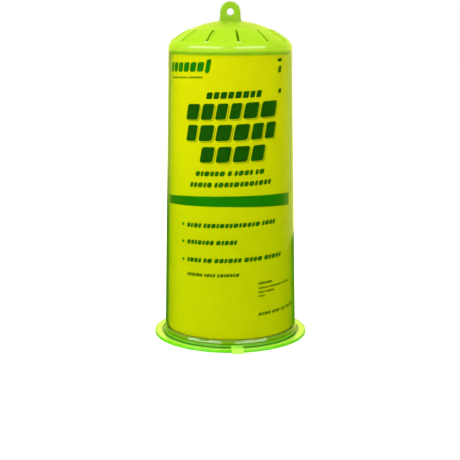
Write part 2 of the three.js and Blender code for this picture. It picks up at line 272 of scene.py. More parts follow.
def inset_outline(outline, distance):
    """A counter-clockwise outline moved inwards by a short distance."""
    if not distance:
        return outline
    moved = []
    count = len(outline)
    for i, here in enumerate(outline):
        back = Vector(here) - Vector(outline[i - 1])
        ahead = Vector(outline[(i + 1) % count]) - Vector(here)
        tangent = (back.normalized() + ahead.normalized()).normalized()
        moved.append((here[0] - tangent.y * distance, here[1] + tangent.x * distance))
    return moved


def rod_along_x(name, radius, start, end, y, z, steps=32):
    """A rod that lies along X from start to end."""
    outline = [(y + radius * math.cos(2 * math.pi * i / steps),
                z + radius * math.sin(2 * math.pi * i / steps)) for i in range(steps)]
    rod = raised(name, outline, start, end)
    for vertex in rod.data.vertices:
        vertex.co = (vertex.co.z, vertex.co.x, vertex.co.y)
    return rod


def block(name, width, depth, height, x, y, z, edge=0.25):
    """A box with softened vertical corners and rims."""
    half_x, half_y = width / 2, depth / 2
    outline = rounded([(x - half_x, y - half_y, edge), (x + half_x, y - half_y, edge),
                       (x + half_x, y + half_y, edge), (x - half_x, y + half_y, edge)])
    return plate(name, outline, z - height / 2, z + height / 2, edge)


def ring_piece(name, inner, outer, start, end, bottom, top, steps=16):
    """A piece of a ring between two radii and two angles in degrees, counted from +X."""
    start, end = math.radians(start), math.radians(end)
    outline = arc((0, 0), outer, start, end, steps) + arc((0, 0), inner, end, start, steps)
    return raised(name, outline, bottom, top)


def rotate_about_z(piece, angle):
    """Turns a piece's vertices about Z by an angle in radians."""
    for vertex in piece.data.vertices:
        x, y, z = vertex.co
        vertex.co = (x * math.cos(angle) - y * math.sin(angle),
                     x * math.sin(angle) + y * math.cos(angle), z)
    return piece


def combine(piece, others, operation):
    """Joins, cuts or intersects piece with the others, which are used up."""
    for other in others:
        modifier = piece.modifiers.new("combine", "BOOLEAN")
        modifier.operation = operation
        modifier.solver = "EXACT"
        modifier.object = other
    view_layer = bpy.context.evaluated_depsgraph_get()
    finished = bpy.data.meshes.new_from_object(piece.evaluated_get(view_layer))
    piece.modifiers.clear()
    piece.data = finished
    for other in others:
        bpy.data.objects.remove(other)
    return piece


def finish_piece(piece, body, slot, *materials, replaces=(), smooth=SMOOTH_ANGLE, region=None):
    """Shades a piece smoothly, gives it its materials and ties it to its CAD body.

    region, where there is one, gives the number of the material for a face's middle, in mm.
    """
    piece.data.materials.clear()
    for material in materials:
        piece.data.materials.append(material)
    if region:
        for face in piece.data.polygons:
            face.material_index = region(face.center / MM)
    piece.data.shade_smooth()
    piece.data.set_sharp_from_angle(angle=smooth)
    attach(piece, body)
    if replaces:
        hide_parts(*replaces)
    return piece


# Materials ----------

def new_material(name):
    """A material with one principled shader, and its tree, shader and output."""
    material = bpy.data.materials.new(name)
    material.use_nodes = True
    nodes = material.node_tree.nodes
    nodes.clear()
    output = nodes.new("ShaderNodeOutputMaterial")
    shader = nodes.new("ShaderNodeBsdfPrincipled")
    material.node_tree.links.new(shader.outputs["BSDF"], output.inputs["Surface"])
    return material, material.node_tree, shader, output


def fill(tree, node, values):
    """Feeds a node's named inputs, each with a socket, a number or a colour."""
    for name, value in values.items():
        feed(tree, node.inputs[name], value)


def feed(tree, socket, value):
    if isinstance(value, bpy.types.NodeSocket):
        tree.links.new(value, socket)
    elif socket.type == "RGBA":
        socket.default_value = (*value, 1)
    else:
        socket.default_value = value


def object_coordinates(tree):
    return tree.nodes.new("ShaderNodeTexCoord").outputs["Object"]


def noise(tree, vector, scale, detail=3.0, stretch=(1, 1, 1)):
    """Noise whose scale is in bumps per metre, stretched along the axes."""
    mapping = tree.nodes.new("ShaderNodeMapping")
    fill(tree, mapping, {"Scale": stretch, "Vector": vector})
    texture = tree.nodes.new("ShaderNodeTexNoise")
    fill(tree, texture, {"Scale": scale, "Detail": detail, "Vector": mapping.outputs["Vector"]})
    return texture.outputs["Fac"]


NOISE_LOW = 0.3
NOISE_HIGH = 0.7


def between(tree, factor, low, high):
    """Spreads noise, which seldom leaves NOISE_LOW to NOISE_HIGH, over the range low to high."""
    return ramp(tree, factor, NOISE_LOW, NOISE_HIGH, low, high, "LINEAR")


def blend_colors(tree, factor, first, second):
    node = tree.nodes.new("ShaderNodeMix")
    node.data_type = "RGBA"
    tree.links.new(factor, node.inputs["Factor"])
    for socket, color in zip([s for s in node.inputs if s.type == "RGBA"], (first, second)):
        feed(tree, socket, color)
    return next(s for s in node.outputs if s.type == "RGBA")


def ramp(tree, value, start, end, low, high, kind="SMOOTHSTEP"):
    """Goes from low to high as value goes from start to end, smoothly unless kind says otherwise."""
    node = tree.nodes.new("ShaderNodeMapRange")
    node.interpolation_type = kind
    fill(tree, node, {"From Min": start, "From Max": end, "To Min": low, "To Max": high,
                      "Value": value})
    return node.outputs["Result"]


def calculate(tree, operation, first, second):
    node = tree.nodes.new("ShaderNodeMath")
    node.operation = operation
    for socket, value in zip(node.inputs, (first, second)):
        feed(tree, socket, value)
    return node.outputs["Value"]


def choose(tree, condition, if_not, if_so):
    """A number: if_so where condition is 1 and if_not where it is 0."""
    node = tree.nodes.new("ShaderNodeMix")
    for index, value in ((0, condition), (2, if_not), (3, if_so)):
        feed(tree, node.inputs[index], value)
    return node.outputs[0]


def height_of(tree, vector):
    node = tree.nodes.new("ShaderNodeSeparateXYZ")
    tree.links.new(vector, node.inputs["Vector"])
    return node.outputs["Z"]


def add_bump(tree, shader, height, strength, distance):
    node = tree.nodes.new("ShaderNodeBump")
    fill(tree, node, {"Strength": strength, "Distance": distance, "Height": height})
    tree.links.new(node.outputs["Normal"], shader.inputs["Normal"])


def absorb(tree, output, per_mm):
    """Fills a piece with a tint that deepens with each millimetre that light goes through it."""
    volume = tree.nodes.new("ShaderNodeVolumeAbsorption")
    density = max(per_mm) / MM
    fill(tree, volume, {"Color": [1 - share / MM / density for share in per_mm], "Density": density})
    tree.links.new(volume.outputs["Volume"], output.inputs["Volume"])


def housing_plastic():
    """Clear lime plastic that changes with height.

    It is painted a milky green in the lip at its foot, in place of light lost inside the clear lip,
    and is glass-clear in the wall. Its shoulder is painted yellow-lime in place of the label seen
    through its curve, the dome is milky and satin, and the tab is deepest, with painted shade
    darkening the dome's top round the tab's foot.
    """
    material, tree, shader, output = new_material("clear_lime")
    vector = object_coordinates(tree)
    height = height_of(tree, vector)
    tint = LIP_PAINTED_GREEN
    for starts, color in ((WALL_STARTS, WALL_TINT), (SHOULDER_STARTS, SHOULDER_PAINTED_LIME),
                          (DOME_TINT_STARTS, DOME_LIME), (TAB_STARTS, TAB_LIME_AND_SHADE)):
        tint = blend_colors(tree, ramp(tree, height, *starts, 0.0, 1.0), tint, color)
    clear = calculate(tree, "MULTIPLY", ramp(tree, height, *WALL_STARTS, LIP_CLEAR, 1.0),
                      ramp(tree, height, *DOME_STARTS, 1.0, DOME_CLEAR))
    marks = between(tree, noise(tree, vector, 220, 4.0, (1, 1, 0.35)), *WALL_GLOSS)
    satin = ramp(tree, height, *DOME_STARTS, 0.0, DOME_SATIN)
    roughness = calculate(tree, "ADD", marks, satin)
    fill(tree, shader, {"Base Color": tint, "Transmission Weight": clear, "Roughness": roughness,
                        "IOR": PLASTIC_IOR})
    add_bump(tree, shader, noise(tree, vector, 38, 1.0, (1, 1, 0.3)), 0.08, 0.0006)
    absorb(tree, output, LIME_ABSORPTION)
    return material


def glowing_plastic(name, color, shade, clear, painted_glow, roughness=0.12):
    """Partly clear fluorescent plastic, which scatters light and has a painted glow: emission that
    stands in for the light it gives off and gathers at its thin edges.
    """
    material, tree, shader, _ = new_material(name)
    vector = object_coordinates(tree)
    flow = between(tree, noise(tree, vector, 120, 3.0, (1, 1, 0.4)), 0.0, 1.0)
    tinted = blend_colors(tree, flow, color, shade)
    marks = noise(tree, vector, 400, 3.0)
    # The emission below is a painted glow: the plastic lights itself, though it is no lamp.
    fill(tree, shader, {
        "Base Color": tinted, "Emission Color": tinted, "Emission Strength": painted_glow,
        "Roughness": between(tree, marks, roughness * 0.7, roughness * 1.4),
        "Transmission Weight": clear, "IOR": PLASTIC_IOR, "Coat Weight": 0.6, "Coat Roughness": 0.04})
    add_bump(tree, shader, marks, 0.08, 0.0001)
    return material


def moulded_plastic(name, color, shade, roughness):
    """Opaque moulded plastic with faint flow marks."""
    material, tree, shader, _ = new_material(name)
    vector = object_coordinates(tree)
    flow = noise(tree, vector, 90, 3.0, (1, 1, 0.4))
    grain = noise(tree, vector, 1800, 2.0)
    fill(tree, shader, {
        "Base Color": blend_colors(tree, between(tree, flow, 0.0, 1.0), color, shade),
        "Roughness": between(tree, grain, roughness * 0.8, roughness * 1.25), "IOR": 1.5,
        "Subsurface Weight": 0.08, "Subsurface Radius": (0.002, 0.0015, 0.0005)})
    add_bump(tree, shader, grain, 0.15, 0.0001)
    return material


def printed_film(name, color, shade, low_color=None, roughness=0.5):
    """Printed plastic film: even ink over a fine grain. With low_color given, it goes darker and greener
    towards the bottom.
    """
    material, tree, shader, _ = new_material(name)
    vector = object_coordinates(tree)
    cloud = noise(tree, vector, 14, 2.0)
    ink = blend_colors(tree, between(tree, cloud, 0.0, 1.0), color, shade)
    if low_color:
        lowness = ramp(tree, height_of(tree, vector), *FILM_CHANGES, 0.0, 1.0)
        ink = blend_colors(tree, lowness, ink, low_color)
    grain = noise(tree, vector, 2500, 2.0)
    fill(tree, shader, {"Base Color": ink, "Specular IOR Level": 0.06,
                        "Roughness": between(tree, grain, roughness * 0.85, roughness * 1.2)})
    add_bump(tree, shader, grain, 0.08, 0.00005)
    return material


def fibrous(name, color, shade, scale):
    """Pressed fibres: felt or cotton."""
    material, tree, shader, _ = new_material(name)
    vector = object_coordinates(tree)
    fibre = noise(tree, vector, scale, 8.0, (1, 1, 2.5))
    fill(tree, shader, {"Base Color": blend_colors(tree, between(tree, fibre, 0.0, 1.0), color, shade),
                        "Roughness": 0.95, "Sheen Weight": 0.4})
    add_bump(tree, shader, fibre, 0.8, 0.0006)
    return material


PLASTIC_IOR = 1.49
# What a millimetre of the clear lime plastic takes out of red, green and blue light
LIME_ABSORPTION = (0.115, 0.020, 0.55)
# The plastic's surface tints from its foot up, and the heights in metres over which each one comes in
# Painted milky green in the lip, standing in for light that is lost inside the clear lip
LIP_PAINTED_GREEN = (0.20, 0.46, 0.006)
WALL_TINT = (1.0, 1.0, 1.0)
WALL_STARTS = (0.0062, 0.0066)
# Painted yellow-lime on the shoulder, in place of the label seen through its curved wall
SHOULDER_PAINTED_LIME = (0.48, 0.78, 0.015)
SHOULDER_STARTS = (0.1998, 0.2014)
DOME_LIME = (0.50, 0.86, 0.012)
DOME_TINT_STARTS = (0.2050, 0.2080)
# A deeper lime in the tab, also painted as shade that darkens the dome's top round the tab's foot
TAB_LIME_AND_SHADE = (0.34, 0.62, 0.002)
TAB_STARTS = (0.2165, 0.2250)
# How clear the milky parts are, and where the dome's milkiness comes in
# The lip's milkiness carries its painted green, in place of light lost inside it
LIP_CLEAR = 0.4
DOME_CLEAR = 0.4
DOME_STARTS = (0.2002, 0.2042)
WALL_GLOSS = (0.03, 0.07)
DOME_SATIN = 0.16
# Heights between which the label's film goes darker and greener towards the bottom, to its lower colour
FILM_CHANGES = (0.17, 0.06)
HOUSING_LIME = housing_plastic()
# The last number of each base material is the strength of its painted glow.
BASE_LIME = glowing_plastic("base_lime", (0.26, 0.78, 0.02), (0.20, 0.70, 0.015), 0.35, 0.0)
# The flange's top: the base's plastic painted lighter and yellower as lit by the light falling on it,
# with a painted glow
FLANGE_TOP_PAINTED_LIGHT = glowing_plastic("flange_top_painted_light", (0.55, 0.96, 0.09), (0.47, 0.93, 0.05), 0.2, 0.12)
# The flange's outer edge: the base's plastic painted a deeper, darker green as shade on its side, with a
# painted glow
FLANGE_EDGE = glowing_plastic("flange_edge_painted_shade", (0.14, 0.62, 0.004), (0.10, 0.56, 0.003), 0.1, 0.10)
# The groove: the base's plastic painted dark green as the shade that fills it
GROOVE_PAINTED_SHADE = glowing_plastic("groove_painted_shade", (0.06, 0.36, 0.02), (0.05, 0.30, 0.02), 0.1, 0.0)
# The rim: the base's plastic painted darker as shade beside the cylinder's foot, with a faint painted
# glow
RIM_PAINTED_SHADE = glowing_plastic("rim_painted_shade", (0.15, 0.48, 0.006), (0.12, 0.40, 0.005), 0.1, 0.04)
# The grip: the base's plastic painted lighter as lit by the light falling on it, with a painted glow
GRIP_PAINTED_LIGHT = glowing_plastic("grip_painted_light", (0.46, 0.94, 0.10), (0.36, 0.90, 0.06), 0.15, 0.14)
LABEL_FILM = printed_film("label_film", (1.0, 0.775, 0.002), (0.98, 0.755, 0.002), (0.79, 0.68, 0.001))
DARK_INK = printed_film("dark_green_ink", (0.002, 0.10, 0.003), (0.003, 0.085, 0.003))
LINE_INK = printed_film("line_green_ink", (0.022, 0.15, 0.003), (0.026, 0.13, 0.003))
EMBLEM_INK = printed_film("emblem_green_ink", (0.003, 0.24, 0.012), (0.004, 0.20, 0.010))
BAND_INK = printed_film("band_green_ink", (0.002, 0.23, 0.002), (0.002, 0.19, 0.002))
SHADOW_INK = printed_film("shadow_ink", (0.33, 0.33, 0.004), (0.28, 0.29, 0.004))
FINE_INK = printed_film("fine_print_ink", (0.06, 0.13, 0.004), (0.08, 0.15, 0.004))
YELLOW_PLASTIC = moulded_plastic("yellow_plastic", (0.90, 0.62, 0.02), (0.84, 0.56, 0.015), 0.3)
WHITE_PLASTIC = moulded_plastic("white_plastic", (0.86, 0.86, 0.82), (0.80, 0.80, 0.76), 0.35)
FELT = fibrous("wick_felt", (0.78, 0.72, 0.58), (0.62, 0.56, 0.44), 1600)
COTTON = fibrous("pressed_cotton", (0.93, 0.92, 0.88), (0.80, 0.79, 0.75), 900)


# Housing ----------

def housing_rows(inset):
    """(radius, height, across-the-wall normal, is beside a vent) rows from lower edge to apex."""
    shoulder = shoulder_centre()
    dome = Vector((0, DOME_TOP - DOME_RADIUS))
    toward = shoulder - dome
    dome_start = math.atan2(toward.y, toward.x)
    rows = []
    wall_top = shoulder.y + SHOULDER_RADIUS * math.sin(DRAFT)
    heights = [CYLINDER_BOTTOM, CYLINDER_BOTTOM + 0.25, LIP_BOTTOM - 0.1, LIP_TOP, LABEL_BOTTOM]
    wall_rows = 12
    heights += [LABEL_BOTTOM + (wall_top - LABEL_BOTTOM) * i / wall_rows for i in range(1, wall_rows)]
    for height in heights:
        rows.append((wall_radius(height, inset), height, DRAFT, False))
    shoulder_steps = 9
    for i in range(shoulder_steps):
        angle = DRAFT + (dome_start - DRAFT) * i / shoulder_steps
        radius = SHOULDER_RADIUS - inset
        rows.append((shoulder.x + radius * math.cos(angle), shoulder.y + radius * math.sin(angle),
                     angle, False))
    vent_end = math.acos(VENT_INNER / DOME_RADIUS)
    vent_steps = 8
    dome_steps = 12
    past_vent = vent_end + math.radians(1.3)
    places = [(dome_start + (vent_end - dome_start) * i / vent_steps, True)
              for i in range(vent_steps + 1)]
    places += [(past_vent + (math.pi / 2 - past_vent) * i / dome_steps, False)
               for i in range(dome_steps)]
    for angle, beside in places:
        radius = DOME_RADIUS - inset
        rows.append((radius * math.cos(angle), dome.y + radius * math.sin(angle), angle, beside))
    return rows


def vent_columns():
    """(angle in its sector, sideways distance in mm, lip height in mm) columns of one sector."""
    sector = 2 * math.pi / VENT_COUNT
    lip = VENT_LIP_HEIGHT
    edge = VENT_WIDTH / 2
    near = [(0.0, -edge - VENT_LIP_FOOT, 0.0), (0.0, -edge - VENT_LIP_WIDTH, lip), (0.0, -edge, lip),
            (0.0, edge, lip), (0.0, edge + VENT_LIP_WIDTH, lip), (0.0, edge + VENT_LIP_FOOT, 0.0)]
    left = [(-sector * share, 0.0, 0.0) for share in (0.5, 0.40, 0.29)]
    right = [(sector * share, 0.0, 0.0) for share in (0.29, 0.40)]
    return left + near + right


def housing_shell():
    """The cylinder and its vented dome: an outer and an inner skin joined round every opening."""
    columns = []
    for index in range(VENT_COUNT):
        middle = -math.pi / 2 + VENT_PHASE + index * 2 * math.pi / VENT_COUNT
        for angle, sideways, lip in vent_columns():
            columns.append((middle + angle, sideways, lip))
    vent_outer = DOME_RADIUS * math.cos(math.atan2(
        shoulder_centre().y - DOME_TOP + DOME_RADIUS, shoulder_centre().x))
    vertices = []
    skins = []
    for inset in (0.0, WALL):
        grid = []
        for radius, height, normal, beside in housing_rows(inset):
            scale = min(max(radius, VENT_INNER), vent_outer)
            row = []
            for angle, sideways, lip in columns:
                around = angle + sideways / scale
                raise_by = lip if beside and inset == 0.0 else 0.0
                reach = radius + raise_by * math.cos(normal)
                row.append(len(vertices))
                vertices.append((reach * math.cos(around), reach * math.sin(around),
                                 height + raise_by * math.sin(normal)))
            grid.append(row)
        apex = len(vertices)
        vertices.append((0, 0, DOME_TOP - inset))
        skins.append((grid, apex))
    (outer, outer_apex), (inner, inner_apex) = skins
    beside = [row[3] for row in housing_rows(0.0)]
    per_sector = len(vent_columns())
    slit = 5  # of vent_columns, the one on the opening's left edge

    def is_open(row, column):
        return beside[row] and beside[row + 1] and column % per_sector == slit

    faces = []

    def join_skins(row, column, next_row, next_column):
        faces.append([outer[row][column], outer[next_row][next_column],
                      inner[next_row][next_column], inner[row][column]])

    total = len(columns)
    last = len(outer) - 1
    for row in range(last):
        for column in range(total):
            after = (column + 1) % total
            if is_open(row, column):
                if not beside[row - 1]:
                    join_skins(row, column, row, after)
                if not is_open(row + 1, column):
                    join_skins(row + 1, column, row + 1, after)
                for side in (column, after):
                    join_skins(row, side, row + 1, side)
                continue
            for grid in (outer, inner):
                faces.append([grid[row][column], grid[row][after],
                              grid[row + 1][after], grid[row + 1][column]])
    for column in range(total):
        after = (column + 1) % total
        faces.append([outer[last][column], outer[last][after], outer_apex])
        faces.append([inner[last][column], inner[last][after], inner_apex])
        join_skins(0, column, 0, after)
    return make_mesh("trap_housing", vertices, faces)


def lower_lip():
    """A sloping lip round the cylinder, just above the base's rim."""
    inside = wall_radius(LIP_BOTTOM, WALL / 2)
    outside = wall_radius(LIP_BOTTOM) + LIP_REACH
    return turned("lower_lip", rounded([
        (inside, LIP_BOTTOM, 0), (outside, LIP_BOTTOM, 0.15), (outside, LIP_BOTTOM + 0.4, 0.3),
        (wall_radius(LIP_TOP) - 0.01, LIP_TOP, 0), (inside, LIP_TOP, 0)]))


def tab_outline(inset):
    """The hanging tab's outline in XZ, moved inwards by inset, with a foot that flares out."""
    centre = TOTAL_HEIGHT - TAB_RADIUS
    foot = DOME_TOP - TAB_SINK
    radius = TAB_RADIUS - inset
    outer = arc((0, centre), radius, 0, math.pi, 40)
    flare = []
    flare_steps = 10
    for i in range(flare_steps + 1):
        down = i / flare_steps
        widen = TAB_FLARE * down ** 3
        flare.append((radius + widen, centre - (centre - foot) * down))
    left = [(-x, z) for x, z in flare[1:]]
    right = list(reversed(flare[1:]))
    floor = [(x * (radius + TAB_FLARE), foot) for x in (-0.6, -0.2, 0.2, 0.6)]
    return outer + left + floor + right


def hanging_tab():
    """A rounded plate with an eye through it."""
    centre = TOTAL_HEIGHT - TAB_RADIUS
    vertices = []
    loops = []
    for inset, y in rounded_layers(-TAB_THICKNESS / 2, TAB_THICKNESS / 2, TAB_EDGE, 5):
        outline = tab_outline(inset)
        outer = list(range(len(vertices), len(vertices) + len(outline)))
        vertices += [(x, y, z) for x, z in outline]
        eye_radius = EYE_RADIUS + inset * EYE_ROUNDING
        eye = list(range(len(vertices), len(vertices) + len(outline)))
        for x, z in outline:
            angle = math.atan2(z - centre, x)
            vertices.append((eye_radius * math.cos(angle), y, centre + eye_radius * math.sin(angle)))
        loops.append((outer, eye))
    count = len(loops[0][0])
    faces = []
    for (outer, eye), (next_outer, next_eye) in zip(loops, loops[1:]):
        for i in range(count):
            k = (i + 1) % count
            faces.append([outer[i], outer[k], next_outer[k], next_outer[i]])
            faces.append([eye[i], eye[k], next_eye[k], next_eye[i]])
    for outer, eye in (loops[0], loops[-1]):
        for i in range(count):
            k = (i + 1) % count
            faces.append([outer[i], outer[k], eye[k], eye[i]])
    return make_mesh("hanging_tab", vertices, faces)


def build_housing():
    """The cylinder with its tab, lip and stop lugs, notched for the funnel's keys."""
    housing = housing_shell()
    lugs = []
    notches = []
    inside = wall_radius(CYLINDER_BOTTOM) - WALL / 2
    for start in LUG_STARTS:
        lugs.append(ring_piece("lug", inside, RIM_OUTER - 0.2, start, start + LUG_ANGLE,
                               CYLINDER_BOTTOM + 0.1, RIM_TOP - 0.2))
    for index in range(KEY_COUNT):
        middle = 45 + index * 360 / KEY_COUNT
        half = KEY_ANGLE / 2 + 1
        notches.append(ring_piece("notch", FUNNEL_RADIUS - 1, KEY_REACH + 2, middle - half,
                                  middle + half, 0, KEY_TOP + 2 * GAP))
    combine(housing, [hanging_tab(), lower_lip(), *lugs], "UNION")
    combine(housing, notches, "DIFFERENCE")
    return finish_piece(housing, "housing", "lime_plastic", HOUSING_LIME, replaces=["trap_cylinder"])


# Label ----------

# Where the sheet's two ends are, in degrees from the front
LABEL_OUTER_END = 100
LABEL_INNER_END = -36
# How far the sheet winds inwards in one turn
LABEL_CLIMB = 0.4
LABEL_FILM_THICKNESS = 0.2
# How much higher its inner end sits than its outer end
LABEL_SLIP = 0.3
LABEL_STEP = 2.5


def label_radius(angle, height):
    """Radius of the label's outer face. The sheet winds inwards from its outer end."""
    turns = (LABEL_OUTER_END - angle) / 360
    return wall_radius(height, WALL + GAP) - LABEL_CLIMB * turns


def around(angle, radius, height):
    """The point at an angle in degrees from the front, a radius and a height."""
    turn = math.radians(angle)
    return (radius * math.sin(turn), -radius * math.cos(turn), height)


def film_row(angle, radius, thickness, height):
    """The outer and the inner point of a film at one place."""
    return around(angle, radius, height), around(angle, radius - thickness, height)


def add_strip(vertices, faces, sections):
    """Adds a closed strip of film through sections, each a list of (outer, inner) points."""
    first = len(vertices)
    rows = len(sections[0])
    stride = 2 * rows
    for section in sections:
        vertices += [outer for outer, _ in section] + [inner for _, inner in section]
    loop = list(range(rows)) + list(range(stride - 1, rows - 1, -1))
    last = first + (len(sections) - 1) * stride
    for here in range(first, last, stride):
        for a, b in zip(loop, loop[1:] + loop[:1]):
            faces.append([here + a, here + b, here + stride + b, here + stride + a])
    for start in (first, last):
        for row in range(start, start + rows - 1):
            faces.append([row, row + 1, row + rows + 1, row + rows])


def build_label():
    """One sheet rolled against the wall. Its ends overlap round the front and the right."""
    sweep = LABEL_OUTER_END + 360 - LABEL_INNER_END
    steps = int(sweep / LABEL_STEP)
    rows = 10
    sections = []
    for i in range(steps + 1):
        angle = LABEL_OUTER_END - sweep * i / steps
        low = LABEL_BOTTOM + LABEL_SLIP * i / steps
        high = LABEL_TOP + LABEL_SLIP * i / steps
        heights = [low + (high - low) * row / rows for row in range(rows + 1)]
        sections.append([film_row(angle, label_radius(angle, height), LABEL_FILM_THICKNESS, height)
                         for height in heights])
    vertices = []
    faces = []
    add_strip(vertices, faces, sections)
    label = make_mesh("label_roll", vertices, faces)
    return finish_piece(label, "housing", "label_print", LABEL_FILM, replaces=["label_sheet"])


INK_THICKNESS = 0.02
PRINT_STEP = 1.2


def printed_marks(name, patches, material, lift):
    """Thin ink patches wrapped on the label's outer face, lifted off it by a little.

    A patch is (start, end, lower edge, upper edge, slant). Its edges are functions of the distance
    in mm round the front, positive to the right.
    """
    vertices = []
    faces = []
    for start, end, lower, upper, slant in patches:
        columns = max(8, int((end - start) / PRINT_STEP))
        sections = []
        for i in range(columns + 1):
            along = start + (end - start) * (1 - math.cos(math.pi * i / columns)) / 2
            low, high = lower(along), upper(along)
            section = []
            for share in (0, 0.5, 1):
                height = low + (high - low) * share
                shifted = along + slant * (height - (low + high) / 2)
                angle = math.degrees(shifted / wall_radius(height, WALL + GAP))
                radius = label_radius(angle, height) + lift
                section.append(film_row(angle, radius, INK_THICKNESS, height))
            sections.append(section)
        add_strip(vertices, faces, sections)
    marks = make_mesh(name, vertices, faces)
    return finish_piece(marks, "housing", "label_print", material)


# How the print lines rise to the right, and how their blocks lean
PRINT_TILT = 0.036
PRINT_SLANT = 0.2


def bar(start, width, base, height, rounding=0.3):
    """A slanted block with rounded corners, standing on a print line that rises to the right."""
    corner = rounding * min(width, height)

    def bevel(along):
        near = max(0.0, min(along - start, start + width - along, corner))
        return corner - math.sqrt(corner ** 2 - (corner - near) ** 2) + 0.02

    def lower(along):
        return base + PRINT_TILT * along + bevel(along)

    def upper(along):
        return base + PRINT_TILT * along + height - bevel(along)

    return start, start + width, lower, upper, PRINT_SLANT


def print_line(start, end, base, height, widths, gap, rounding=0.3):
    """Blocks of the given relative widths, filling a line from start to end. 0 is a space."""
    inked = [w for w in widths if w]
    spaces = len(widths) - len(inked)
    room = (end - start) - gap * (len(widths) - 1) - spaces * gap * 1.5
    unit = room / sum(inked)
    bars = []
    at = start
    for width in widths:
        if not width:
            at += gap * 2.5
            continue
        bars.append(bar(at, width * unit, base, height, rounding))
        at += width * unit + gap
    return bars


def word_line(start, end, base, height, words, gap):
    """A line of small blocks, given as how many there are in each word. Their widths vary."""
    widths = []
    for word, count in enumerate(words):
        if word:
            widths.append(0)
        for i in range(count):
            widths.append(1 + 0.3 * math.sin(2.4 * (i + 3 * word) + 0.7 * base))
    return print_line(start, end, base, height, widths, gap, 0.4)


def word_lines(rows):
    return [mark for row in rows for mark in word_line(*row)]


def dot(centre, height, radius):
    """A round dot."""
    def half(along):
        return math.sqrt(max(0.01, radius ** 2 - (along - centre) ** 2))

    return (centre - radius, centre + radius,
            lambda along: height - half(along), lambda along: height + half(along), 0.0)


def moved(patches, along, up):
    """The same patches shifted sideways and up, for a drop shadow."""
    def shift(edge):
        return lambda place: edge(place - along) + up

    return [(start + along, end + along, shift(lower), shift(upper), slant)
            for start, end, lower, upper, slant in patches]


BAND_ENDS = (-72, 51)


def band_edges():
    """The green band swells towards the right."""
    def top(along):
        return 106.8 - 0.0009 * (along - 10) ** 2

    def bottom(along):
        return 99.4 - 0.0007 * (along - 2) ** 2 - 0.022 * max(0.0, along)

    return bottom, top


# Lines of words: start and end round the front, foot, height, blocks in each word and gap, in mm
TEXT_LINES = (
    (-24.5, 24, 120.4, 3.6, [6, 1, 4, 2], 0.55), (-29, 29.5, 112.8, 3.6, [5, 12], 0.55),
    (-32, 33.5, 84.9, 3.3, [4, 13, 4], 0.5), (-32, 4.5, 73.2, 3.3, [7, 5], 0.5),
    (-32, 39.5, 60.7, 3.3, [4, 2, 6, 4, 5], 0.5),
)
FINE_LINES = (
    (-50, -19, 186.0, 1.3, [5, 4, 6], 0.45), (-32, 6, 50.8, 2.5, [6, 4, 7], 0.45),
    (20, 31, 43.7, 1.9, [6], 0.35), (20, 50, 40.6, 1.5, [5, 8, 6], 0.35),
    (20, 33, 37.6, 1.6, [4, 6], 0.35), (20, 25, 35.0, 1.3, [4], 0.35),
    (20, 58, 21.6, 2.4, [4, 3, 2, 5], 0.5),
)


def build_print():
    """Plain blocks and lines where a label has its print: a headline, points and small print."""
    headline = (print_line(-31.5, 34, 158.4, 10.8, [1.1, 0.9, 0.8, 0.8, 1.1, 1.4], 2.1, 0.16)
                + print_line(-31.5, 33, 144.1, 11.0, [0.9, 1.1, 1.1, 1.1, 0.9, 0.9], 2.1, 0.16)
                + print_line(-20.5, 24, 129.6, 10.8, [1, 1, 1.1, 1], 2.1, 0.16))
    heading = print_line(-16, 21.5, 172.2, 4.6, [1, 0.9, 1, 0.9, 1, 1, 0.8, 0.9], 1.0, 0.2)
    dots = [dot(-36.0, height, 1.15) for height in (85.4, 73.4, 60.8)]
    emblem = (print_line(-52, -18, 190.4, 6.4, [1, 1, 1, 1, 1, 1], 1.0, 0.25)
              + [bar(-16.6, 3.4, 189.2, 9.4, 0.5)])
    side_marks = [bar(35.6, 4.4, 194.6, 2.2), bar(36.4, 3.0, 173.6, 3.0)]
    bottom, top = band_edges()
    printed_marks("print_shadow", moved(headline, 1.0, -0.9), SHADOW_INK, 0.03)
    printed_marks("print_outline", moved(headline, 0.45, -0.4), LABEL_FILM, 0.05)
    printed_marks("print_headline", headline + heading + side_marks, DARK_INK, 0.07)
    printed_marks("print_emblem", emblem + dots, EMBLEM_INK, 0.07)
    printed_marks("print_lines", word_lines(TEXT_LINES), LINE_INK, 0.07)
    printed_marks("print_fine", word_lines(FINE_LINES) + [bar(36.2, 3.4, 187.2, 4.6)], FINE_INK, 0.05)
    printed_marks("print_band", [(*BAND_ENDS, bottom, top, 0.0)], BAND_INK, 0.04)


# Base ----------

# Up to this height the groove's faces take a dark green that is painted shade
GROOVE_SHADE_TOP = 2.3
FLANGE_EDGE_WIDTH = 1.3
# The base's materials, in the order in which build_base gives them. They are one plastic, painted
# lighter on the flange top and grip and darker on the flange edge, rim and groove, as light and shade
# fall.
BASE, FLANGE, FLANGE_SIDE, GROOVE, RIM, GRIP = range(6)


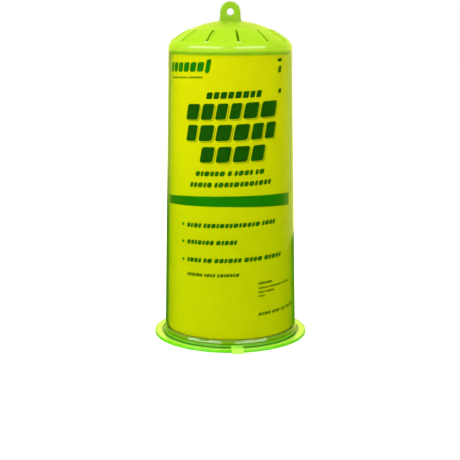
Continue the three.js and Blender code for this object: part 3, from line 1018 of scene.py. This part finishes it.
def base_outline():
    """Half a section through the base, from the flange's foot inwards to the axis."""
    seat = FUNNEL_RADIUS - FUNNEL_WALL - GAP
    chamber_inner = CHAMBER_RADIUS - CHAMBER_WALL
    corners = [
        (FLANGE_RADIUS, 0, 0.5), (FLANGE_RADIUS, FLANGE_THICKNESS, 0.5),
        (FLANGE_RADIUS - FLANGE_EDGE_WIDTH, FLANGE_THICKNESS, 0),
        (GROOVE_OUTER, FLANGE_THICKNESS, 0.35), (GROOVE_OUTER, GROOVE_FLOOR, 0.3),
        (RIM_OUTER, GROOVE_FLOOR, 0.3),
        (RIM_OUTER, GROOVE_SHADE_TOP, 0), (RIM_OUTER, RIM_TOP, 0.3),
        (RIM_INNER, RIM_TOP, 0.3), (RIM_INNER, FLOOR_TOP, 0.2),
        (seat, FLOOR_TOP, 0.2), (seat, RIM_TOP, 0.3), (seat - SEAT_WALL, RIM_TOP, 0.3),
        (seat - SEAT_WALL, FLOOR_TOP, 0.3), (CHAMBER_RADIUS, FLOOR_TOP, 0.5),
        (CHAMBER_RADIUS, CHAMBER_TOP, 0.3), (chamber_inner, CHAMBER_TOP, 0.3),
        (chamber_inner, FLOOR_TOP, 0.3),
    ]
    return rounded(corners + [(0, FLOOR_TOP, 0), (0, 0, 0)])


def entry_holes():
    """Cutters for the ring of entry holes."""
    holes = []
    for index in range(ENTRY_COUNT):
        angle = (index + 0.5) * 2 * math.pi / ENTRY_COUNT
        centre = (ENTRY_CIRCLE * math.cos(angle), ENTRY_CIRCLE * math.sin(angle))
        outline = arc(centre, ENTRY_RADIUS, 0, 2 * math.pi, 40)[:-1]
        holes.append(raised("hole", outline, -FLOOR_TOP, 2 * FLOOR_TOP))
    return holes


def grip_tab():
    """The small tab on the flange by which the base is turned."""
    half = GRIP_WIDTH / 2
    outline = rounded([(-half, -GRIP_REACH, 1.5), (half, -GRIP_REACH, 1.5),
                       (half, -RIM_OUTER + 0.3, 0), (-half, -RIM_OUTER + 0.3, 0)], 6)
    return rotate_about_z(plate("grip", outline, 0, GRIP_HEIGHT, 0.5), GRIP_ANGLE)


def hinge_ears():
    """The two ears of the lid's hinge, cut clear of the chamber's inside."""
    ears = []
    back = HINGE_Y + HINGE_BARREL
    clear = CHAMBER_RADIUS - CHAMBER_WALL + 0.1
    well_top = 2 * CHAMBER_TOP
    for side in (1, -1):
        middle = side * (EAR_INNER + EAR_THICKNESS / 2)
        start = middle - EAR_THICKNESS / 2
        foot = block("ear_foot", EAR_THICKNESS, EAR_DEPTH, EAR_HEIGHT, middle, back - EAR_DEPTH / 2,
                     CHAMBER_TOP - EAR_HEIGHT / 2)
        well = turned("well", [(0, FLOOR_TOP), (clear, FLOOR_TOP), (clear, well_top), (0, well_top)])
        ears.append(combine(foot, [well], "DIFFERENCE"))
        ears.append(block("ear_post", EAR_THICKNESS, 2 * HINGE_BARREL, 2, middle, HINGE_Y, HINGE_Z - 1))
        ears.append(rod_along_x("ear_eye", HINGE_BARREL, start, start + EAR_THICKNESS, HINGE_Y, HINGE_Z))
    return ears


def base_region(middle):
    """Which of the base's materials a face takes, from where its middle is."""
    radius = math.hypot(middle.x, middle.y)
    on_grip = abs(math.atan2(middle.x, -middle.y) - GRIP_ANGLE) < GRIP_WIDTH / 2 / FLANGE_RADIUS
    margin = 0.05
    # The grip and the flange top take painted light; the flange edge, the rim and the groove take
    # painted shade.
    if radius > RIM_OUTER + margin and on_grip and middle.z > FLANGE_THICKNESS:
        return GRIP
    if radius > FLANGE_RADIUS - FLANGE_EDGE_WIDTH:
        return GRIP if on_grip else FLANGE_SIDE
    if radius > GROOVE_OUTER + margin:
        return FLANGE if middle.z > FLANGE_THICKNESS / 2 else BASE
    if radius > RIM_OUTER - margin and middle.z > 0:
        return GROOVE if middle.z < GROOVE_SHADE_TOP else RIM
    if radius > RIM_INNER - 2 * margin and middle.z > FLOOR_TOP:
        return RIM
    return BASE


def build_base():
    base = turned("trap_base_body", base_outline(), ROUND_STEPS)
    combine(base, [grip_tab(), *hinge_ears()], "UNION")
    windows = []
    for start in LUG_STARTS:
        end = start + LUG_ANGLE + TWIST_TRAVEL
        windows.append(ring_piece("window", RIM_INNER - 0.4, RIM_OUTER + 0.4, start - 1, end + 1,
                                  CYLINDER_BOTTOM - 0.2, RIM_TOP + 1))
    reach = EAR_INNER + EAR_THICKNESS + 1
    pin_hole = rod_along_x("pin_hole", HINGE_PIN + GAP, -reach, reach, HINGE_Y, HINGE_Z)
    combine(base, [*entry_holes(), *windows, pin_hole], "DIFFERENCE")
    return finish_piece(base, "base", "base_plastic", BASE_LIME, FLANGE_TOP_PAINTED_LIGHT, FLANGE_EDGE, GROOVE_PAINTED_SHADE,
                        RIM_PAINTED_SHADE, GRIP_PAINTED_LIGHT, replaces=["trap_base"], region=base_region)


# Funnel, lid and bait ----------

def build_funnel():
    bottom = FLOOR_TOP + GAP
    inner = FUNNEL_RADIUS - FUNNEL_WALL
    outline = rounded([
        (inner, bottom, 0.4), (FUNNEL_RADIUS, bottom, 0.4), (FUNNEL_RADIUS, FUNNEL_SKIRT_TOP, 2.0),
        (FUNNEL_TIP_RADIUS, FUNNEL_TOP, 0.6), (FUNNEL_TIP_RADIUS - FUNNEL_WALL, FUNNEL_TOP, 0.6),
        (inner, FUNNEL_SKIRT_TOP, 1.5),
    ])
    funnel = turned("funnel_cone", outline)
    keys = []
    for index in range(KEY_COUNT):
        middle = 45 + index * 360 / KEY_COUNT
        half = KEY_ANGLE / 2
        keys.append(ring_piece("key", FUNNEL_RADIUS - FUNNEL_WALL / 2, KEY_REACH, middle - half,
                               middle + half, bottom, KEY_TOP))
    combine(funnel, keys, "UNION")
    return finish_piece(funnel, "funnel", "yellow_plastic", YELLOW_PLASTIC, replaces=["entry_funnel"])


def build_lid():
    top = LID_BOTTOM + LID_THICKNESS
    lid = turned("bait_lid", rounded([(CHAMBER_RADIUS, LID_BOTTOM, 0.3), (CHAMBER_RADIUS, top, 0.5),
                                      (0, top, 0), (0, LID_BOTTOM, 0)]), ROUND_STEPS)
    half = EAR_INNER - GAP
    arm = HINGE_Y - CHAMBER_RADIUS + LID_ARM_OVERLAP
    pin_end = EAR_INNER + EAR_THICKNESS
    parts = [
        block("arm", 2 * half, arm, LID_THICKNESS, 0, HINGE_Y - arm / 2, HINGE_Z),
        rod_along_x("barrel", HINGE_BARREL, -half, half, HINGE_Y, HINGE_Z),
        rod_along_x("pin", HINGE_PIN, -pin_end, pin_end, HINGE_Y, HINGE_Z),
        block("thumb", LID_GRIP_WIDTH, LID_GRIP_DEPTH, LID_THICKNESS, 0, -CHAMBER_RADIUS - 1, HINGE_Z,
              0.4),
    ]
    combine(lid, parts, "UNION")
    vents = []
    for i in range(-2, 3):
        x = i * LID_VENT_SPACING
        end = math.sqrt(LID_VENT_CIRCLE ** 2 - x ** 2) - LID_VENT_HALF
        outline = (arc((x, end), LID_VENT_HALF, 0, math.pi, 8)
                   + arc((x, -end), LID_VENT_HALF, math.pi, 2 * math.pi, 8))
        vents.append(raised("vent", outline, LID_BOTTOM - 2, top + 2))
    combine(lid, vents, "DIFFERENCE")
    return finish_piece(lid, "lid", "yellow_plastic", YELLOW_PLASTIC, replaces=["chamber_lid"])


BAIT_STEPS = 96


def bait_piece(name, corners, slot, material, node):
    piece = turned(name, rounded(corners), BAIT_STEPS)
    finish_piece(piece, "base", slot, material, replaces=[node])


def build_bait():
    """The cartridge's cup, wick and film, with the cotton pad on top."""
    top = CARTRIDGE_BOTTOM + CARTRIDGE_HEIGHT
    radius = CARTRIDGE_RADIUS
    bait_piece("bait_cup", [
        (radius - 1, CARTRIDGE_BOTTOM, 0.5), (radius - 0.4, top - 1, 0.2), (radius + 0.8, top - 1, 0.2),
        (radius + 0.8, top, 0.3), (radius - 1.4, top, 0.3), (radius - 2, CARTRIDGE_BOTTOM + 1, 0.4),
        (0, CARTRIDGE_BOTTOM + 1, 0), (0, CARTRIDGE_BOTTOM, 0)],
        "white_plastic", WHITE_PLASTIC, "cartridge_shell")
    wick_bottom = CARTRIDGE_BOTTOM + 1 + GAP
    bait_piece("bait_wick", [
        (radius - 2.6, wick_bottom, 0.6), (radius - 2.6, top - 1, 0.8), (0, top - 1.1, 0),
        (0, wick_bottom, 0)], "felt", FELT, "cartridge_wick")
    film_bottom = top + GAP
    bait_piece("bait_film", [
        (radius + 0.8, film_bottom, 0.1), (radius + 0.8, film_bottom + 0.3, 0.1),
        (radius - 1.5, film_bottom + 0.3, 0.2), (radius - 2.2, film_bottom + 0.2, 0.2),
        (0, film_bottom + 0.2, 0), (0, film_bottom, 0)],
        "perforated_film", WHITE_PLASTIC, "cartridge_film")
    build_cotton_pad(film_bottom + 0.3 + GAP)


def build_cotton_pad(bottom):
    """A round pad with a pressed rim and a quilted crown."""
    rings = 14
    rise = PAD_THICKNESS
    outline = []
    for side, order in ((-1, range(rings + 1)), (1, range(rings, -1, -1))):
        for i in order:
            across = i / rings
            pressed = 1 - 0.6 * max(0.0, across - 0.88) / 0.12
            thick = rise * (0.42 + 0.58 * (1 - across ** 4)) * pressed
            half = thick / 2 if i < rings else thick / 4
            outline.append((PAD_RADIUS * across, bottom + rise / 2 + side * half))
    pad = turned("bait_pad", outline, BAIT_STEPS)
    for vertex in pad.data.vertices:
        x, y, z = vertex.co / MM
        quilt = 0.12 * math.sin(x * 1.4) * math.sin(y * 1.4)
        reach = 1 - math.hypot(x, y) / PAD_RADIUS
        vertex.co.z += math.copysign(quilt, z - bottom - rise / 2) * reach * MM
    finish_piece(pad, "base", "cotton", COTTON, replaces=["cotton_pad"])


# Stage ----------

def build_floor():
    """A plain pale floor, left out of reflections and of what is seen through the plastic."""
    size = 4.0
    mesh = bpy.data.meshes.new("floor")
    corners = [(-size, -size, 0), (size, -size, 0), (size, size, 0), (-size, size, 0)]
    mesh.from_pydata(corners, [], [(0, 1, 2, 3)])
    floor = bpy.data.objects.new("floor", mesh)
    bpy.context.scene.collection.objects.link(floor)
    material, tree, shader, _ = new_material("pale_floor")
    fill(tree, shader, {"Base Color": (0.88, 0.88, 0.88), "Roughness": 0.9, "Specular IOR Level": 0.0,
                        "Emission Color": (1, 1, 1), "Emission Strength": 0.14})
    mesh.materials.append(material)
    floor.visible_glossy = False
    floor.visible_transmission = False


LAMP_DISTANCE = 0.9
LAMP_MIDDLE = 0.57
LAMP_HEIGHT = 0.36
LAMP_RADIANCE = 7.0
LAMP_TARGET = (0, 0, 0.2)


def softbox(name, azimuth, width):
    """A lamp that only shows as a reflection. Its azimuth is in degrees from the front."""
    turn = math.radians(azimuth)
    data = bpy.data.lights.new(name, "AREA")
    data.shape = "RECTANGLE"
    data.size, data.size_y = width, LAMP_HEIGHT
    data.energy = LAMP_RADIANCE * math.pi * width * LAMP_HEIGHT
    light = bpy.data.objects.new(name, data)
    light.location = (LAMP_DISTANCE * math.sin(turn), -LAMP_DISTANCE * math.cos(turn), LAMP_MIDDLE)
    toward = Vector(LAMP_TARGET) - light.location
    light.rotation_euler = toward.to_track_quat("-Z", "Y").to_euler()
    light.visible_camera = False
    light.visible_diffuse = False
    light.visible_transmission = False
    bpy.context.scene.collection.objects.link(light)


def build_lights():
    softbox("front_left", -49, 1.15)
    softbox("front_right", 38, 1.0)


# The white that lights matt surfaces, and its strength from left to right and from low to high
LAMP_COLOR = (1.1, 1.0, 0.92)
LAMP_LEFT_RIGHT = (2.0, 1.1)
LAMP_LOW_HIGH = (0.75, 1.1)
# The cards that mirroring surfaces see: lime above green outside, one card from inside the plastic
LIME_CARD = (1.40, 1.25, 0.30)
GREEN_CARD = (0.005, 0.17, 0.001)
INSIDE_CARD = (0.60, 1.0, 0.10)
# Where lime goes over to green, as the upward part of a direction to the left and to the right
LEFT_HORIZON = (-0.185, -0.11)
RIGHT_HORIZON = (-0.198, -0.190)
# How far behind the trap the outside cards come in, how bright the room in front of them is, and
# how bright the inside card is in front and behind
CARDS_START = (0.35, 1.15)
FRONT_ROOM = 0.015
INSIDE_FRONT_BACK = (0.2, 0.45)


def build_world():
    """A white studio. What mirrors it sees coloured cards behind and a dim room in front."""
    world = bpy.data.worlds.new("studio")
    world.use_nodes = True
    tree = world.node_tree
    background = tree.nodes["Background"]
    path = tree.nodes.new("ShaderNodeLightPath")
    axes = tree.nodes.new("ShaderNodeSeparateXYZ")
    tree.links.new(tree.nodes.new("ShaderNodeTexCoord").outputs["Generated"], axes.inputs["Vector"])
    x, y, z = (axes.outputs[axis] for axis in "XYZ")
    from_left = ramp(tree, x, -1.0, 1.0, *LAMP_LEFT_RIGHT)
    lighting = calculate(tree, "MULTIPLY", from_left, ramp(tree, z, -0.6, 0.6, *LAMP_LOW_HIGH))
    leaning_right = calculate(tree, "ADD", y, calculate(tree, "MULTIPLY", x, 0.2))
    behind = ramp(tree, leaning_right, *CARDS_START, 0.0, 1.0)
    outside = calculate(tree, "ADD", behind, FRONT_ROOM)
    inside = ramp(tree, y, -0.3, 0.3, *INSIDE_FRONT_BACK)
    has_passed_through = calculate(tree, "GREATER_THAN", path.outputs["Transmission Depth"], 0.5)
    is_mirrored = calculate(tree, "GREATER_THAN", path.outputs["Glossy Depth"], 0.5)
    is_lighting = calculate(tree, "GREATER_THAN", path.outputs["Diffuse Depth"], 0.5)
    seen = choose(tree, is_mirrored, 1.0, choose(tree, has_passed_through, outside, inside))
    tree.links.new(choose(tree, is_lighting, seen, lighting), background.inputs["Strength"])
    high_left = ramp(tree, z, *LEFT_HORIZON, 0.0, 1.0)
    high_right = ramp(tree, z, *RIGHT_HORIZON, 0.0, 1.0)
    high = choose(tree, ramp(tree, x, -0.05, 0.05, 0.0, 1.0), high_left, high_right)
    card = blend_colors(tree, high, GREEN_CARD, LIME_CARD)
    mirrored = blend_colors(tree, has_passed_through, card, INSIDE_CARD)
    seen_color = blend_colors(tree, is_mirrored, (1, 1, 1), mirrored)
    tree.links.new(blend_colors(tree, is_lighting, seen_color, LAMP_COLOR), background.inputs["Color"])
    bpy.context.scene.world = world


def build_camera():
    """Seen from in front and a little above, as a product shot is taken."""
    sideways = -0.0002
    distance = 0.7427
    height = 0.2252
    pitch = math.radians(11.446)
    data = bpy.data.cameras.new("camera")
    data.sensor_width = 36.0
    data.lens = 82.25
    data.clip_start = 0.01
    data.clip_end = 20
    camera = bpy.data.objects.new("camera", data)
    camera.location = (sideways, -distance, height)
    camera.rotation_euler = (math.pi / 2 - pitch, 0, 0)
    bpy.context.scene.collection.objects.link(camera)
    bpy.context.scene.camera = camera


build_camera()
build_housing()
build_label()
build_print()
build_base()
build_funnel()
build_lid()
build_bait()
build_floor()
build_lights()
build_world()
bpy.context.scene.view_settings.view_transform = "Standard"
